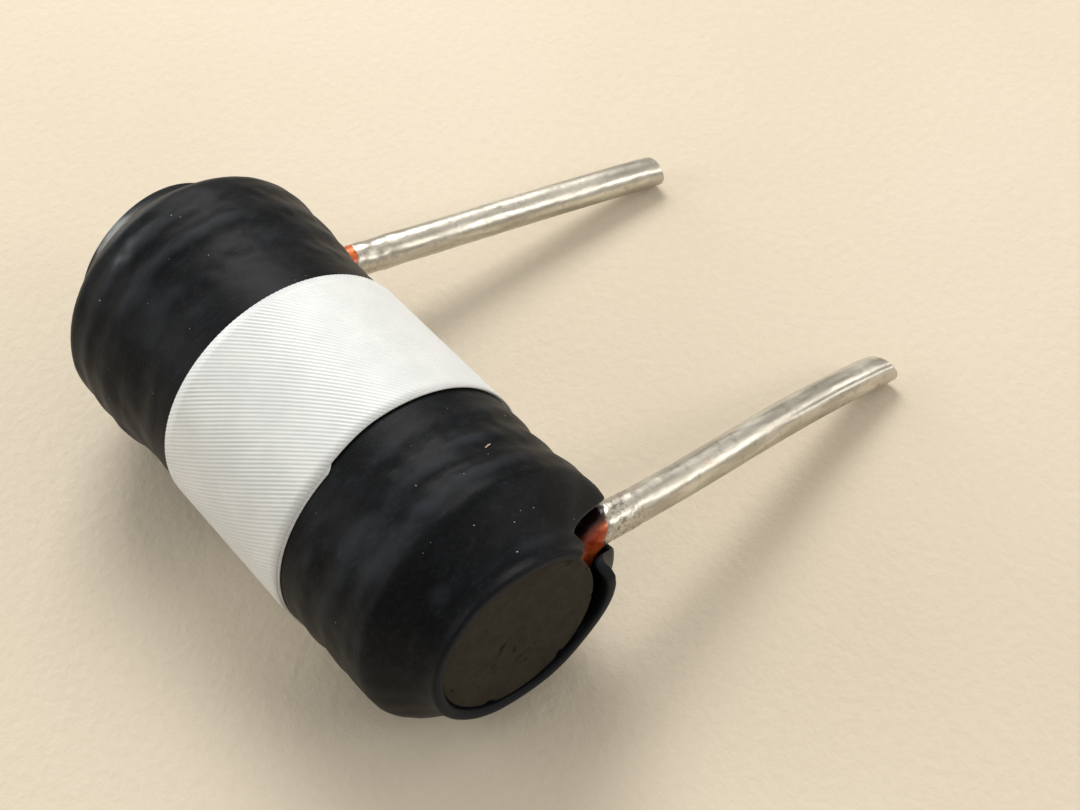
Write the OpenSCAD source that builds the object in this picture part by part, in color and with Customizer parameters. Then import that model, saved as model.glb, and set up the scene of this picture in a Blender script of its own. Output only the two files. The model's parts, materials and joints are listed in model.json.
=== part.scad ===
// Rod core choke: a ferrite rod with one layer of thick enamelled copper wire, shrunk into
// a black sleeve. Both wire ends leave on the same side as tinned solder leads.
//
// Frame: millimetres, +Z up, the choke lying on a flat surface at z = 0 on its sleeve and
// its two lead tips. The rod's axis runs along X, its front face towards +X, and the leads
// point towards +Y. The origin is the bottom centre of the whole part.

/* [Ferrite rod] */
// Diameter of the rod
rod_d = 12.7; // [11.5:0.1:14]
// Length of the rod
rod_l = 44.45; // [43.5:0.05:50]
// Chamfer on both ends of the rod
rod_chamfer = 0.25; // [0.1:0.05:0.6]

/* [Winding] */
// Diameter of the bare copper wire
wire_d = 2.59; // [2.3:0.01:2.6]
// Thickness of the enamel on the wire
enamel_t = 0.04; // [0.02:0.005:0.05]
// Least gap between neighbouring turns, which sets how many fit
turn_gap = 0.01; // [0.005:0.005:0.2]
// Gap that the springy wire leaves round the rod
coil_gap = 0.33; // [0.2:0.01:0.6]
// Bend radius of the wire where it leaves the coil, at its centre line
bend_r = 2.2; // [1.8:0.1:2.8]

/* [Leads] */
// Distance of the front lead from the rod's front face, where it leaves the coil
front_lead_u = 3.7; // [3.5:0.1:4.5]
// Distance of the rear lead from the rod's rear face, where it leaves the coil
rear_lead_back = 5.65; // [5.45:0.05:5.9]
// Height of the front lead over the rod's axis, where it leaves the coil
front_lead_z = -0.4; // [-1:0.1:0.5]
// Height of the rear lead over the rod's axis, where it leaves the coil
rear_lead_z = -3.1; // [-3.6:0.1:-2.6]
// Reach of the front lead from the rod's axis
front_reach = 40.4; // [30:0.1:60]
// Reach of the rear lead from the rod's axis
rear_reach = 41.4; // [30:0.1:60]
// How far the front lead's tip is bent in towards the other lead
front_splay = 2.2; // [0:0.1:4]
// How far the rear lead's tip is bent in towards the other lead
rear_splay = 4.4; // [0:0.1:6]
// Length of enamelled wire between the front lead's bend and its solder
front_enamel = 0.5; // [0.4:0.1:3]
// Length of enamelled wire between the rear lead's bend and its solder
rear_enamel = 3; // [1:0.1:5]
// Thickness of the solder on the leads
solder_t = 0.06; // [0.03:0.01:0.15]
// Chamfer on the snipped tips
tip_chamfer = 0.2; // [0.1:0.05:0.5]

/* [Sleeve] */
// Wall of the shrunk sleeve over the winding
sleeve_wall = 0.65; // [0.5:0.05:0.9]
// Wall of the sleeve at its two lips, where it has shrunk most
lip_wall = 0.85; // [0.7:0.05:1.1]
// How far each lip stands past the rod's end face
lip_proud = 0.35; // [0.1:0.05:0.8]
// Room between winding and sleeve
sleeve_slack = 0.2; // [0.12:0.01:0.4]
// Distance in front of the first turn's centre line where the sleeve has its full size
front_shoulder = 0.9; // [0.7:0.05:1]
// Length over which the sleeve narrows behind the last turn
rear_shoulder = 4.95; // [4.5:0.05:5.1]
// Swelling of the sleeve over the last rear turns
rear_swell = 0.5; // [0.35:0.05:0.8]
// Swelling of both shoulders along the bottom, which the choke rests on
foot_swell = 0.2; // [0.15:0.01:0.35]
// How far the front lip is pulled off the rod below the front lead
lip_flare = 1.3; // [1:0.05:1.5]
// Swelling of the sleeve behind the bend of the front lead
lead_swell = 0.6; // [0.5:0.05:0.8]

/* [Label] */
// Width of the label
label_w = 13.5; // [8:0.1:15]
// Distance of the label's front edge from the rod's front face
label_u = 13.4; // [12:0.1:16]
// Thickness of the label
label_t = 0.1; // [0.06:0.01:0.2]
// Angle over which the label's end lies on its beginning
label_overlap = 200; // [20:5:240]

/* [Hidden] */
$fn = 96;
fit = 0.03;                     // clearance between pieces that touch
rod_r = rod_d / 2;
wire_r = wire_d / 2 + enamel_t; // over the enamel
solder_r = wire_d / 2 + solder_t;
coil_r = rod_r + coil_gap + wire_r;
body_r = coil_r + wire_r + sleeve_slack + sleeve_wall;
lip_r = rod_r + fit + lip_wall;
exit_y = 9;                     // where the leads' heights and distances are measured
label_r = body_r + fit;
axis_h = max(body_r + foot_swell, label_r + label_t); // of the rod's axis over the surface
core_lap = 0.15;                // length of bare core inside the enamelled wire

// Smooth step from 0 to 1
function smooth(t) = let (c = min(max(t, 0), 1)) c * c * (3 - 2 * c);
// Bell curve of height 1 and half width w
function bell(t, w) = exp(-pow(t / w, 2));
function unit(v) = v / norm(v);
// The angle a, from -180 to 180 degrees
function wrapped(a) = a > 180 ? a - 360 : a;
// A point at distance u from the front face, radius r and angle a from +Y towards +Z
function at(u, r, a) = [rod_l / 2 - u, r * cos(a), r * sin(a)];

// ---- Leads --------------------------------------------------------------------------
// A lead is [u where it leaves the coil, z there, shift of its tip along X, reach].
front_lead = [front_lead_u, front_lead_z, -front_splay, front_reach];
rear_lead = [rod_l - rear_lead_back, rear_lead_z, rear_splay, rear_reach];
function lead_root(l) = [rod_l / 2 - l[0], exit_y, l[1]];
// Angle between a lead and the surface that its tip rests on
function fall(l) = atan((axis_h + l[1] - solder_r) / (l[3] - exit_y));
function lead_tip(l) = [rod_l / 2 - l[0] + l[2], l[3],
    -axis_h + solder_r * cos(fall(l)) - tip_chamfer * sin(fall(l))];
function lead_dir(l) = unit(lead_tip(l) - lead_root(l));
function lead_at_y(l, y) = lead_root(l) + lead_dir(l) * (y - exit_y) / lead_dir(l)[1];

// ---- Bends --------------------------------------------------------------------------
// Seen along the rod, a bend is an arc that touches the coil's circle from outside and
// its lead's line from below (side -1) or from above (side 1).
function pitch_of(l) = atan(-lead_dir(l)[2] / lead_dir(l)[1]);
function bend_height(l, side, y) = lead_at_y(l, y)[2] + side * bend_r / cos(pitch_of(l));
// Angle on the coil at which the bend touches it, found by repetition
function touch_angle(l, side, a = 0, n = 12) = n == 0 ? a
    : let (y = (coil_r + bend_r) * cos(a))
      touch_angle(l, side, asin(bend_height(l, side, y) / (coil_r + bend_r)), n - 1);
front_a = touch_angle(front_lead, -1);
rear_a = touch_angle(rear_lead, 1);
function bend_centre(a) = [(coil_r + bend_r) * cos(a), (coil_r + bend_r) * sin(a)];
// Where the bend meets its lead
function bend_end_y(l, side, a) = bend_centre(a)[0] - side * bend_r * sin(pitch_of(l));
front_bend_y = bend_end_y(front_lead, -1, front_a);
rear_bend_y = bend_end_y(rear_lead, 1, rear_a);
front_coil_x = lead_at_y(front_lead, front_bend_y)[0];
rear_coil_x = lead_at_y(rear_lead, rear_bend_y)[0];
function bend_point(x, a, b) = [x, bend_centre(a)[0] + bend_r * cos(b),
                                bend_centre(a)[1] + bend_r * sin(b)];
front_solder_y = front_bend_y + front_enamel;
rear_solder_y = rear_bend_y + rear_enamel;

// ---- Winding path -------------------------------------------------------------------
part_turn = (front_a - rear_a) / 360;
coil_turns = floor((front_coil_x - rear_coil_x) / (2 * wire_r + turn_gap) - part_turn);
coil_angle = 360 * (coil_turns + part_turn);
pitch = (front_coil_x - rear_coil_x) / (coil_turns + part_turn);
coil_steps = 20 * coil_turns;
bend_steps = 6;
wire_path = concat(
    [lead_at_y(front_lead, front_solder_y)],
    [for (i = [0:bend_steps - 1])
        let (b0 = 90 - pitch_of(front_lead), b1 = 180 + front_a)
        bend_point(front_coil_x, front_a, b0 + (b1 - b0) * i / bend_steps)],
    [for (i = [0:coil_steps])
        let (t = i / coil_steps, a = front_a - coil_angle * t)
        [front_coil_x + (rear_coil_x - front_coil_x) * t, coil_r * cos(a), coil_r * sin(a)]],
    [for (i = [1:bend_steps])
        let (b0 = 180 + rear_a, b1 = 270 - pitch_of(rear_lead))
        bend_point(rear_coil_x, rear_a, b0 + (b1 - b0) * i / bend_steps)],
    [lead_at_y(rear_lead, rear_solder_y)]);

// A tube of eight flats along a path, with the area of the round wire. Two flats face
// along X, so that the turns lie side by side.
wire_sides = 8;
wire_flat = sqrt(PI / (wire_sides * tan(180 / wire_sides)));
module round_wire(path, r) {
    last = len(path) - 1;
    points = [for (i = [0:last])
        let (along = unit(path[min(i + 1, last)] - path[max(i - 1, 0)]),
             side = unit([1, 0, 0] - along[0] * along),
             up = cross(along, side),
             corner_r = r * wire_flat / cos(180 / wire_sides))
        for (k = [0:wire_sides - 1])
            let (a = 360 * (k + 0.5) / wire_sides)
            path[i] + corner_r * (cos(a) * side + sin(a) * up)];
    walls = [for (i = [0:last - 1], k = [0:wire_sides - 1])
        let (n = (k + 1) % wire_sides, p = i * wire_sides, q = p + wire_sides)
        each [[p + k, q + k, q + n], [p + k, q + n, p + n]]];
    start = [[for (k = [0:wire_sides - 1]) k]];
    finish = [[for (k = [wire_sides - 1:-1:0]) last * wire_sides + k]];
    polyhedron(points, concat(walls, start, finish));
}

// Children drawn along +Z, laid from a point along a direction
module along(from, dir) {
    translate(from)
        rotate([0, acos(dir[2]), atan2(dir[1], dir[0])])
            children();
}

// The bare copper inside a lead's solder
module lead_core(l, solder_y) {
    start = lead_at_y(l, solder_y) - lead_dir(l) * core_lap;
    core_l = norm(lead_tip(l) - start) - tip_chamfer;
    along(start, lead_dir(l))
        cylinder(r = wire_d / 2, h = core_l);
}

module winding() {
    color([0.72, 0.2, 0.1])
        union() {
            round_wire(wire_path, wire_r);
            lead_core(front_lead, front_solder_y);
            lead_core(rear_lead, rear_solder_y);
        }
}

module lead_solder(l, solder_y) {
    start = lead_at_y(l, solder_y);
    solder_l = norm(lead_tip(l) - start);
    color([0.78, 0.77, 0.72])
        along(start, lead_dir(l))
            difference() {
                rotate_extrude()
                    polygon([[0, 0], [solder_r, 0], [solder_r, solder_l - tip_chamfer],
                             [solder_r - tip_chamfer, solder_l], [0, solder_l]]);
                translate([0, 0, -1])
                    cylinder(r = wire_d / 2, h = solder_l - tip_chamfer + 1);
            }
}
module front_lead_solder() { lead_solder(front_lead, front_solder_y); }
module rear_lead_solder() { lead_solder(rear_lead, rear_solder_y); }

// ---- Ferrite rod --------------------------------------------------------------------
module ferrite_rod() {
    color([0.2, 0.19, 0.18])
        translate([-rod_l / 2, 0, 0])
            rotate([0, 90, 0])
                rotate_extrude()
                    polygon([[0, 0], [rod_r - rod_chamfer, 0], [rod_r, rod_chamfer],
                             [rod_r, rod_l - rod_chamfer], [rod_r - rod_chamfer, rod_l],
                             [0, rod_l]]);
}

// ---- Sleeve -------------------------------------------------------------------------
// Notches in the sleeve's two edges that let the leads out: [angle, share of the depth]
front_notch = [[-18, 0], [-16, 0.47], [-14, 0.88], [-12, 1], [4, 1], [14, 0.8], [22, 0.6],
               [30, 0.45], [37, 0.28], [40, 0]];
rear_notch = [[-31, 0], [-28, 1], [-8, 1], [-3, 0]];
notch_room = 0.15;              // between a lead and the bottom of its notch
function lead_u(l) = rod_l / 2 - lead_at_y(l, body_r)[0];
front_depth = lead_u(front_lead) + solder_r + notch_room + lip_proud;
rear_depth = rod_l + lip_proud - lead_u(rear_lead) + solder_r + notch_room;
function front_edge(a) = -lip_proud + front_depth * lookup(a, front_notch);
function rear_edge(a) = rod_l + lip_proud - rear_depth * lookup(a, rear_notch);

// Where the first turn lies in the direction a. Beside the front lead it is taken to rise
// over an arc, because the sleeve can't follow its step.
step_arc = 60;
function turn_share(a) = ((front_a - a + 720) % 360) / 360;
function first_turn_u(a) = rod_l / 2 - front_coil_x + pitch
    * (a > front_a ? min(turn_share(a), smooth((a - front_a) / step_arc)) : turn_share(a));
// How much of the way from lip to winding the sleeve has widened at u
lip_hug = 0.2;                  // length of rod that each lip lies on
flare_l = 5;                    // length, direction and half width of the pulled part
flare_a = -22;
flare_arc = 22;
swell_l = 3;                    // and of the swelling behind the front bend
swell_a = 2;
swell_arc = 30;
function neck(u, a) =
    min(smooth((u - lip_hug) / (first_turn_u(a) - front_shoulder - lip_hug)),
        smooth((rod_l - lip_hug - u) / rear_shoulder));
// Share of the bottom in the direction a
function bottom(a) = pow(max(0, -sin(a)), 2);
front_drop = sleeve_slack - 0.05; // the sleeve lies closer over the first turns
front_end = 13;                 // the even part that the label lies on is between these
rear_start = rod_l - 13.5;
function front_part(u) = 1 - smooth((u - front_end + 6) / 6);
function rear_part(u) = smooth((u - rear_start) / 5);
function body_at(u, a) = body_r
    + (foot_swell * bottom(a) - front_drop * (1 - bottom(a))) * front_part(u)
    + (foot_swell * bottom(a) + rear_swell * (1 - bottom(a))) * rear_part(u);
function sleeve_outer(u, a) =
    lip_r + (body_at(u, a) + lead_swell * bell(a - swell_a, swell_arc)
             * bell(u - front_lead_u - wire_r / 2, swell_l) - lip_r) * neck(u, a)
    + lip_flare * bell(a - flare_a, flare_arc) * (1 - smooth((u + lip_proud) / flare_l));
function sleeve_inner(u, a) =
    sleeve_outer(u, a) - lip_wall + (lip_wall - sleeve_wall) * neck(u, a);

// Columns of points round the sleeve, closer together about the leads
sleeve_angles = [for (a = [-36:2:46]) a, for (a = [53:7:319]) wrapped(a)];
sleeve_outer_rows = 30;
sleeve_inner_rows = 22;
// Rows lie close together where the sleeve curves: [share of the rows, share of the length]
row_places = [[0, 0], [0.33, 0.13], [0.5, 0.3], [0.6, 0.68], [0.72, 0.8], [1, 1]];
function sleeve_u(a, t) =
    front_edge(a) + (rear_edge(a) - front_edge(a)) * lookup(t, row_places);

module shrink_sleeve() {
    n = len(sleeve_angles);
    outer = [for (i = [0:sleeve_outer_rows], a = sleeve_angles)
        let (u = sleeve_u(a, i / sleeve_outer_rows))
        at(u, sleeve_outer(u, a), a)];
    inner = [for (i = [0:sleeve_inner_rows], a = sleeve_angles)
        let (u = sleeve_u(a, i / sleeve_inner_rows))
        at(u, sleeve_inner(u, a), a)];
    first = len(outer);
    function skin(base, rows, out) = [for (i = [0:rows - 1], k = [0:n - 1])
        let (p = base + i * n + k, q = base + i * n + (k + 1) % n)
        each (out ? [[p, q + n, p + n], [p, q, q + n]] : [[p, p + n, q + n], [p, q + n, q]])];
    function edge(p0, q0, out) = [for (k = [0:n - 1])
        let (j = (k + 1) % n)
        each (out ? [[p0 + k, q0 + j, p0 + j], [p0 + k, q0 + k, q0 + j]]
                  : [[p0 + k, p0 + j, q0 + j], [p0 + k, q0 + j, q0 + k]])];
    color([0.13, 0.13, 0.14])
        polyhedron(concat(outer, inner), concat(
            skin(0, sleeve_outer_rows, true),
            skin(first, sleeve_inner_rows, false),
            edge(0, first, true),
            edge(sleeve_outer_rows * n, first + sleeve_inner_rows * n, false)));
}

// ---- Label --------------------------------------------------------------------------
label_start = -5;               // angle at which the label's end begins to lie on itself
module label() {
    color([0.93, 0.93, 0.91])
        translate([rod_l / 2 - label_u - label_w, 0, 0])
            rotate([90, 0, 90]) {
                rotate_extrude()
                    translate([label_r, 0])
                        square([label_t, label_w]);
                rotate_extrude(angle = label_overlap, start = label_start)
                    translate([label_r + label_t / 2, 0])
                        square([label_t * 1.5, label_w]);
            }
}

// ---- Whole choke --------------------------------------------------------------------
back_y = -body_r - rear_swell;
function tip_y(l) = l[3] + (solder_r - tip_chamfer) * sqrt(1 - pow(lead_dir(l)[1], 2));
mid_y = (max(tip_y(front_lead), tip_y(rear_lead)) + back_y) / 2;
module in_place() {
    translate([0, -mid_y, axis_h])
        children();
}

in_place() ferrite_rod();
in_place() winding();
in_place() front_lead_solder();
in_place() rear_lead_solder();
in_place() shrink_sleeve();
in_place() label();
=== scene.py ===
import json
import math

import bmesh
import bpy
import numpy as np
from mathutils import Matrix, Vector
from mathutils.kdtree import KDTree


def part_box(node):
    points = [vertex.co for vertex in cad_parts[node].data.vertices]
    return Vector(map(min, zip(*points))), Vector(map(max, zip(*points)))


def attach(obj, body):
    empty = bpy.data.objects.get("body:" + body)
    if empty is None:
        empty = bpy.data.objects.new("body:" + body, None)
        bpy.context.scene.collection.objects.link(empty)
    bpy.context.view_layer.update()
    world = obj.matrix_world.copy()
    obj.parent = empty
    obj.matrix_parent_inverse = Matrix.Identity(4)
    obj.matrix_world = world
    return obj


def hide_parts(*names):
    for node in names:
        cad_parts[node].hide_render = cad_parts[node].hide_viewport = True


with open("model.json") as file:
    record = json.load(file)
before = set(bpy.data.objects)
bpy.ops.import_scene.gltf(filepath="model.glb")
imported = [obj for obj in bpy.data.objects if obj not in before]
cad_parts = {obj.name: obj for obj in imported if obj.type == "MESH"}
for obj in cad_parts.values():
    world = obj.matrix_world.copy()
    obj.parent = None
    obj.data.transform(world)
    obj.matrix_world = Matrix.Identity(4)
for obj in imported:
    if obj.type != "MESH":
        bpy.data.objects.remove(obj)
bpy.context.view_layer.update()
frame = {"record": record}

MM = 0.001

# ---- Sizes in millimetres, as the solids have them
rod_low, rod_high = [np.array(corner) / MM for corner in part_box("ferrite_rod")]
FRONT_X = rod_high[0]                       # the rod's front face
AXIS_Y = (rod_low[1] + rod_high[1]) / 2     # the rod's axis
AXIS_Z = (rod_low[2] + rod_high[2]) / 2
ROD_L = rod_high[0] - rod_low[0]
ROD_R = (rod_high[2] - rod_low[2]) / 2
WIRE_R = 1.335
SOLDER_R = 1.355
COIL_R = 8.015
BODY_R = 10.2
PITCH = 2.69065
TURNS = 13
FRONT_COIL_U = 3.797                        # where the coil's two ends lie along the rod
REAR_COIL_U = 38.697
FRONT_A = -16.52                            # angles at which the wire leaves the coil
REAR_A = -6.05
BEND_R = 2.2
BEND_STEPS = 24
LIP_PROUD = 0.35
LIP_WALL = 0.85
SLEEVE_WALL = 0.65
LABEL_U = 13.4
LABEL_W = 13.5
LABEL_R = BODY_R + 0.03


def smooth(t):
    t = np.clip(t, 0, 1)
    return t * t * (3 - 2 * t)


def bell(t, width):
    return np.exp(-(t / width) ** 2)


def wrapped(angle):
    """An angle brought between -180 and 180 degrees."""
    return (np.asarray(angle) + 180) % 360 - 180


def on_rod(u, r, angle):
    """Points at distance u behind the front face, radius r and an angle from +Y towards +Z."""
    a = np.radians(angle)
    u, r, a = np.broadcast_arrays(np.asarray(u, float), np.asarray(r, float), a)
    return np.stack([FRONT_X - u, AXIS_Y + r * np.cos(a), AXIS_Z + r * np.sin(a)], axis=-1)


def ripple(points, length, seed, waves=14):
    """Smooth unevenness of about unit height with humps of the given length, in 3-D."""
    own = np.random.default_rng(seed)
    ways = own.normal(size=(waves, 3))
    ways /= np.linalg.norm(ways, axis=1)[:, None]
    ways *= (2 * math.pi / length * own.uniform(0.6, 1.5, waves))[:, None]
    phases = own.uniform(0, 2 * math.pi, waves)
    return np.sin(points @ ways.T + phases).sum(axis=-1) / math.sqrt(waves)


# ---- Node trees --------------------------------

class Nodes:
    """Short ways to add and join the nodes of a tree."""

    def __init__(self, tree):
        self.tree = tree

    def add(self, kind, sockets=None, **settings):
        node = self.tree.nodes.new(kind)
        for key, value in settings.items():
            setattr(node, key, value)
        for key, value in (sockets or {}).items():
            self.give(node, key, value)
        return node

    def give(self, node, key, value):
        """Joins a socket to an input, or sets the input to a plain value."""
        if isinstance(value, bpy.types.NodeSocket):
            self.tree.links.new(value, node.inputs[key])
        else:
            node.inputs[key].default_value = value

    def calc(self, kind, a, b=0.0, c=0.0):
        return self.add("ShaderNodeMath", {0: a, 1: b, 2: c}, operation=kind).outputs[0]


# ---- Camera, light and floor -------------------

def place_camera():
    data = bpy.data.cameras.new("camera")
    data.lens = 65
    data.sensor_width = 36
    data.clip_start = 0.005
    data.clip_end = 10
    camera = bpy.data.objects.new("camera", data)
    bpy.context.scene.collection.objects.link(camera)
    right = Vector((0.62342, 0.78053, -0.04604))
    up = Vector((-0.58501, 0.50471, 0.63485))
    back = Vector((0.51875, -0.36885, 0.77126))
    turn = Matrix((right, up, back)).transposed().to_4x4()
    eye = Vector((80.534, -53.962, 118.403)) * MM
    camera.matrix_world = Matrix.Translation(eye) @ turn
    bpy.context.scene.camera = camera


def soft_light(name, place, aim, size, watts, colour):
    data = bpy.data.lights.new(name, "AREA")
    data.shape = "RECTANGLE"
    data.size, data.size_y = size
    data.energy = watts
    data.color = colour
    lamp = bpy.data.objects.new(name, data)
    bpy.context.scene.collection.objects.link(lamp)
    lamp.location = Vector(place)
    lamp.rotation_mode = "QUATERNION"
    lamp.rotation_quaternion = (Vector(aim) - Vector(place)).to_track_quat("-Z", "Y")


# Soft lamps round the table, in metres: place, where each is aimed, size, watts, colour
LAMPS = (
    ("window", (-0.28, 0.16, 0.36), (0, 0, 0.005), (0.24, 0.24), 1.60, (1.0, 0.98, 0.94)),
    ("far_wall", (0.22, 0.46, 0.20), (0, 0, 0), (0.40, 0.09), 0.55, (1.0, 0.97, 0.91)),
    ("right_wall", (0.46, 0.28, 0.33), (0.05, 0.03, 0), (0.22, 0.14), 0.60, (1.0, 0.96, 0.90)),
    ("near_side", (-0.26, -0.38, 0.22), (0, 0, 0), (0.3, 0.2), 0.60, (1.0, 0.98, 0.94)),
    ("left_card", (-0.55, -0.05, 0.075), (0, 0, 0.01), (0.26, 0.10), 0.80, (0.94, 0.98, 1.0)))
ROOM_STRENGTH = 0.72


def light_room():
    for lamp in LAMPS:
        soft_light(*lamp)
    world = bpy.data.worlds.new("room")
    world.use_nodes = True
    room = Nodes(world.node_tree)
    background = room.tree.nodes["Background"]
    place = room.add("ShaderNodeTexCoord").outputs["Generated"]
    height = room.add("ShaderNodeSeparateXYZ", {0: place}).outputs["Z"]
    ramp = room.add("ShaderNodeValToRGB", {0: height})
    room.give(background, "Color", ramp.outputs[0])
    room.give(background, "Strength", ROOM_STRENGTH)
    stops = ramp.color_ramp.elements
    stops[0].position, stops[0].color = 0.0, (0.10, 0.09, 0.08, 1)
    stops[1].position, stops[1].color = 1.0, (0.95, 0.90, 0.82, 1)
    for position, colour in ((0.22, (0.30, 0.28, 0.26, 1)), (0.5, (0.72, 0.69, 0.63, 1))):
        stop = stops.new(position)
        stop.color = colour
    bpy.context.scene.world = world
    bpy.context.scene.view_settings.view_transform = "Standard"


# ---- Finishes ----------------------------------

class Finish(Nodes):
    """A material being made: its node tree and its surface shader."""

    def __init__(self, name):
        self.material = bpy.data.materials.new(name)
        self.material.use_nodes = True
        super().__init__(self.material.node_tree)
        self.surface = self.tree.nodes["Principled BSDF"]
        self.place = self.add("ShaderNodeTexCoord").outputs["Object"]

    def set(self, **sockets):
        for key, value in sockets.items():
            self.give(self.surface, key.replace("_", " "), value)

    def stretched(self, scale, turn=(0, 0, 0)):
        """Object coordinates stretched along the axes, for streaks."""
        return self.add("ShaderNodeMapping", {"Vector": self.place, "Scale": scale,
                                              "Rotation": turn}).outputs[0]

    def mottle(self, size, detail=4.0, roughness=0.55, distortion=0.0, place=None):
        """Cloudy noise whose humps are about the given size in millimetres."""
        return self.add("ShaderNodeTexNoise", {
            "Vector": self.place if place is None else place, "Scale": 1 / (size * MM),
            "Detail": detail, "Roughness": roughness, "Distortion": distortion}).outputs[0]

    def specks(self, size, place=None):
        return self.add("ShaderNodeTexVoronoi", {
            "Vector": self.place if place is None else place, "Scale": 1 / (size * MM)}).outputs[0]

    def levels(self, value, low, high, to_low=0.0, to_high=1.0):
        return self.add("ShaderNodeMapRange", {
            "Value": value, "From Min": low, "From Max": high, "To Min": to_low,
            "To Max": to_high}, interpolation_type="SMOOTHSTEP").outputs[0]

    def blend(self, share, a, b):
        return self.add("ShaderNodeMix", {0: share, 6: a, 7: b}, data_type="RGBA").outputs[2]

    def over(self, colour, share, strength, tint):
        """A colour with a tint laid over it, by a share times a strength."""
        return self.blend(self.calc("MULTIPLY", share, strength), colour, tint)

    def mark(self, name):
        """A value that the mesh carries at each point or face."""
        return self.add("ShaderNodeAttribute", attribute_name=name).outputs["Fac"]

    def bump(self, height, distance, strength=1.0, over=None):
        node = self.add("ShaderNodeBump", {"Height": height, "Distance": distance * MM,
                                           "Strength": strength})
        if over is not None:
            self.give(node, "Normal", over)
        return node.outputs[0]


def shrunk_sleeve_finish():
    """Matt black heat-shrink: grey dust clouds drawn out round the rod, faint scuffs, painted shade
    in the front neck and a painted highlight on the far shoulder.
    """
    f = Finish("shrunk_sleeve")
    round_rod = f.stretched((1.0, 0.5, 0.5))
    clouds = f.levels(f.mottle(1.2, 8, 0.68, 0.5, round_rod), 0.46, 0.74)
    fine = f.levels(f.mottle(0.22, 5, 0.65, 0.0, round_rod), 0.46, 0.76)
    # Raised parts and dust patches are lighter; the patch of painted shade in the front neck is
    # darker
    high = f.levels(f.mark("raised"), 0.1, 1.5)
    dust = f.calc("MULTIPLY", clouds, f.levels(fine, 0.0, 1.0, 0.5, 1.0))
    dust = f.calc("ADD", f.calc("MULTIPLY", dust, 0.34), f.calc("MULTIPLY", high, 0.38))
    dust = f.calc("ADD", dust, f.calc("MULTIPLY", fine, 0.16))
    black = f.blend(f.mottle(6.0, 2), (0.0024, 0.0032, 0.0044, 1), (0.0048, 0.0056, 0.0072, 1))
    colour = f.blend(dust, black, (0.036, 0.043, 0.055, 1))
    scratch = f.specks(1.6, f.stretched((0.25, 1.0, 1.0), (0.5, 0.3, 0.6)))
    colour = f.blend(f.levels(scratch, 0.0, 0.05, 0.5, 0.0), colour, (0.060, 0.064, 0.070, 1))
    # Painted highlight: pale patches on the far shoulder
    colour = f.blend(f.levels(f.mark("painted_highlight"), 0.0, 1.1), colour, (0.190, 0.205, 0.215, 1))
    colour = f.blend(f.mark("cut_edge"), colour, (0.011, 0.013, 0.018, 1))
    rough = f.levels(dust, 0.0, 0.8, 0.44, 0.66)
    grain = f.bump(f.mottle(0.16, 5, 0.65), 0.014, 0.9)
    grain = f.bump(f.mottle(1.0, 4, 0.55, 0.3, round_rod), 0.05, 0.9, grain)
    f.set(Base_Color=colour, Roughness=rough, Normal=grain)
    f.set(IOR=1.45, Specular_IOR_Level=0.11)
    return f.material


def pressed_ferrite_finish():
    """Sintered ferrite: brown-grey, dull, with darker pores and rubbed marks."""
    f = Finish("pressed_ferrite")
    body = f.blend(f.levels(f.mottle(1.6, 5, 0.6), 0.35, 0.7),
                   (0.0240, 0.0215, 0.0150, 1), (0.0350, 0.0310, 0.0220, 1))
    grit = f.levels(f.specks(0.11), 0.05, 0.5)
    body = f.over(body, grit, 0.35, (0.022, 0.018, 0.014, 1))
    body = f.blend(f.levels(f.mark("rubbed"), 0, 0.55), body, (0.007, 0.006, 0.0055, 1))
    rough = f.levels(f.mottle(0.5, 4), 0.3, 0.7, 0.62, 0.8)
    grain = f.bump(f.mottle(0.09, 5, 0.7), 0.012, 0.7)
    f.set(Base_Color=body, Roughness=rough, Normal=grain)
    f.set(Specular_IOR_Level=0.16)
    return f.material


def red_enamel_finish():
    """Clear red-orange enamel on copper, dark in scorch patches from the solder bath, with painted
    shade where the sleeve covers its front end.
    """
    f = Finish("red_enamel")
    tone = f.levels(f.mottle(1.1, 4, 0.6, 0.5), 0.35, 0.68)
    colour = f.blend(tone, (0.44, 0.044, 0.009, 1), (0.74, 0.160, 0.028, 1))
    scorch = f.levels(f.mottle(0.5, 5, 0.65, 0.6), 0.56, 0.74)
    colour = f.over(colour, scorch, 0.7, (0.16, 0.012, 0.006, 1))
    rough = f.levels(f.mottle(0.4, 4), 0.3, 0.75, 0.22, 0.45)
    grain = f.bump(f.mottle(0.3, 4, 0.6), 0.02, 0.7)
    # Painted shade where the sleeve covers the wire's front end
    colour = f.blend(f.levels(f.mark("painted_sleeve_shade"), 0.0, 1.0), colour, (0.012, 0.005, 0.004, 1))
    f.set(Base_Color=colour, Roughness=rough, Normal=grain)
    f.set(Metallic=0.25, Coat_Weight=0.25, Coat_Roughness=0.18)
    return f.material


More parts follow.
